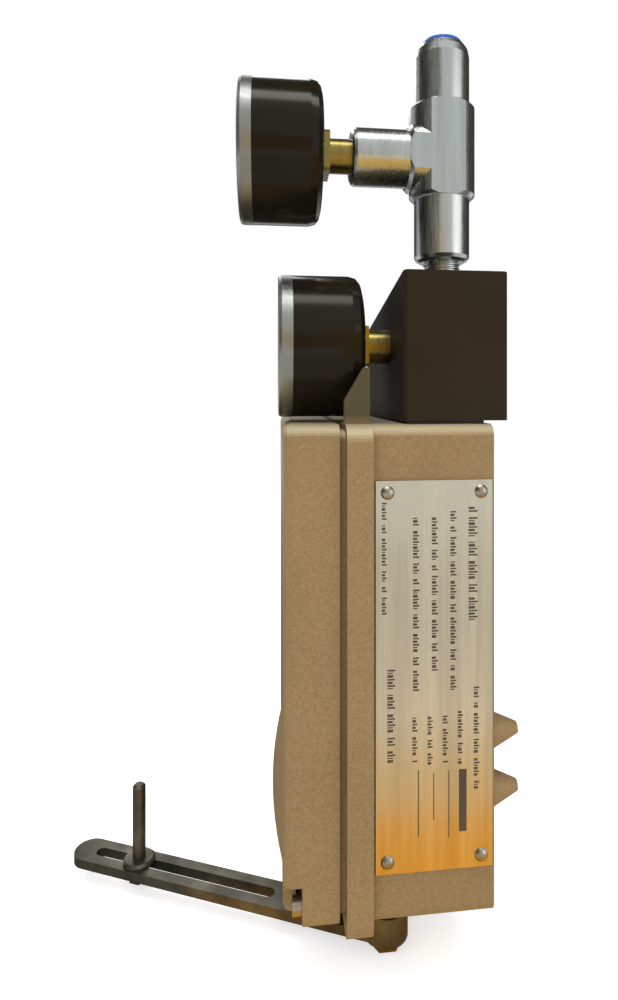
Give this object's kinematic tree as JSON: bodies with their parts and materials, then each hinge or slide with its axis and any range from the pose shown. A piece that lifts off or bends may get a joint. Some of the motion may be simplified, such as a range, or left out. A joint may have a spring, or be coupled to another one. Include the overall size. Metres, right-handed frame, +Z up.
{
  "type": "valve positioner",
  "caption": "Pneumatic valve positioner: tan cast housing and cover, side nameplate, black gauge block, steel tee, back-entry pressure gauges and a slotted feedback lever with follower pin.",
  "frame": {"origin": "midway between the two tapped holes in the rear face", "axes": "+X out of the rear face, +Z up along the housing, -Y towards the nameplate side"},
  "size_m": [0.1534, 0.1148, 0.3082],
  "materials": {
    "tan_paint": "fine-textured satin paint",
    "black_block": "black anodised",
    "stainless": "polished and brushed stainless steel",
    "zinc_steel": "zinc plated",
    "bare_steel": "dull rolled steel",
    "plate": "brushed",
    "brass": "satin",
    "case_black": "gloss black",
    "lens": "clear",
    "dial": "matte white",
    "pointer": "matte black",
    "blue_plastic": "moulded",
    "rubber": "matte",
    "alloy": "machined"
  },
  "bodies": {
    "frame": {"housing": "tan_paint", "cover": "tan_paint", "cover_gasket": "rubber", "block_seal": "rubber", "shaft_seal": "rubber", "diaphragm": "rubber", "cover_screws": "zinc_steel", "nameplate_rivets": "zinc_steel", "block_screws": "zinc_steel", "beam_bracket": "zinc_steel", "beam_pivot": "zinc_steel", "capsule_screws": "zinc_steel", "booster_screws": "zinc_steel", "nameplate": "plate", "gauge_block": "black_block", "tee_fitting": "stainless", "tee_nipple": "stainless", "supply_bezel": "stainless", "output_bezel": "stainless", "inlet_plug": "blue_plastic", "shaft_bush_lower": "brass", "shaft_bush_upper": "brass", "nozzle": "brass", "vent_plug": "brass", "supply_case": "case_black", "supply_lens": "lens", "supply_dial": "dial", "supply_stem": "brass", "supply_tube": "brass", "supply_movement": "brass", "output_case": "case_black", "output_lens": "lens", "output_dial": "dial", "output_stem": "brass", "output_tube": "brass", "output_movement": "brass", "capsule_base": "alloy", "capsule_cap": "alloy", "nozzle_block": "alloy", "booster_body": "alloy", "booster_cap": "alloy"},
    "lever_body": {"lever": "bare_steel", "lever_shaft": "zinc_steel", "lever_washer": "zinc_steel", "lever_nut": "brass", "shaft_ring": "zinc_steel", "feedback_arm": "zinc_steel", "range_spring": "zinc_steel"},
    "pin_body": {"follower_pin": "bare_steel", "pin_nut": "bare_steel"},
    "supply_needle": {"supply_pointer": "pointer"},
    "output_needle": {"output_pointer": "pointer"},
    "beam_body": {"balance_beam": "alloy", "flapper": "zinc_steel"},
    "zero_body": {"zero_screw": "brass"},
    "gain_body": {"gain_screw": "brass"},
    "volume_body": {"volume_screw": "brass"}
  },
  "joints": [
    {"name": "lever_swing", "type": "hinge", "parent": "frame", "child": "lever_body", "pos_m": [-0.0313, -0.038, -0.09], "axis": [0, 0, 1], "range_deg": [-25, 25], "stiffness_Nm_per_rad": 0.05, "deforming": ["range_spring"]},
    {"name": "pin_slide", "type": "slide", "parent": "lever_body", "child": "pin_body", "axis": [-0.9128, 0.4083, 0], "range_m": [-0.021, 0.014]},
    {"name": "supply_reading", "type": "hinge", "parent": "frame", "child": "supply_needle", "pos_m": [-0.06, -0.02, 0.1695], "axis": [1, 0, 0], "range_deg": [0, 270], "stiffness_Nm_per_rad": 0.0002},
    {"name": "output_reading", "type": "hinge", "parent": "frame", "child": "output_needle", "pos_m": [-0.06, -0.022, 0.1019], "axis": [1, 0, 0], "range_deg": [0, 270], "stiffness_Nm_per_rad": 0.0002},
    {"name": "beam_rock", "type": "hinge", "parent": "frame", "child": "beam_body", "pos_m": [-0.022, 0.0075, -0.01], "axis": [1, 0, 0], "range_deg": [-0.5, 0.5], "stiffness_Nm_per_rad": 2},
    {"name": "zero_turn", "type": "hinge", "parent": "frame", "child": "zero_body", "pos_m": [-0.016, 0.026, -0.048], "axis": [1, 0, 0], "range_deg": [-180, 180]},
    {"name": "gain_turn", "type": "hinge", "parent": "frame", "child": "gain_body", "pos_m": [-0.026, -0.041, 0.036], "axis": [1, 0, 0], "range_deg": [-180, 180]},
    {"name": "volume_turn", "type": "hinge", "parent": "frame", "child": "volume_body", "pos_m": [-0.026, -0.027, 0.036], "axis": [1, 0, 0], "range_deg": [-180, 180]}
  ]
}
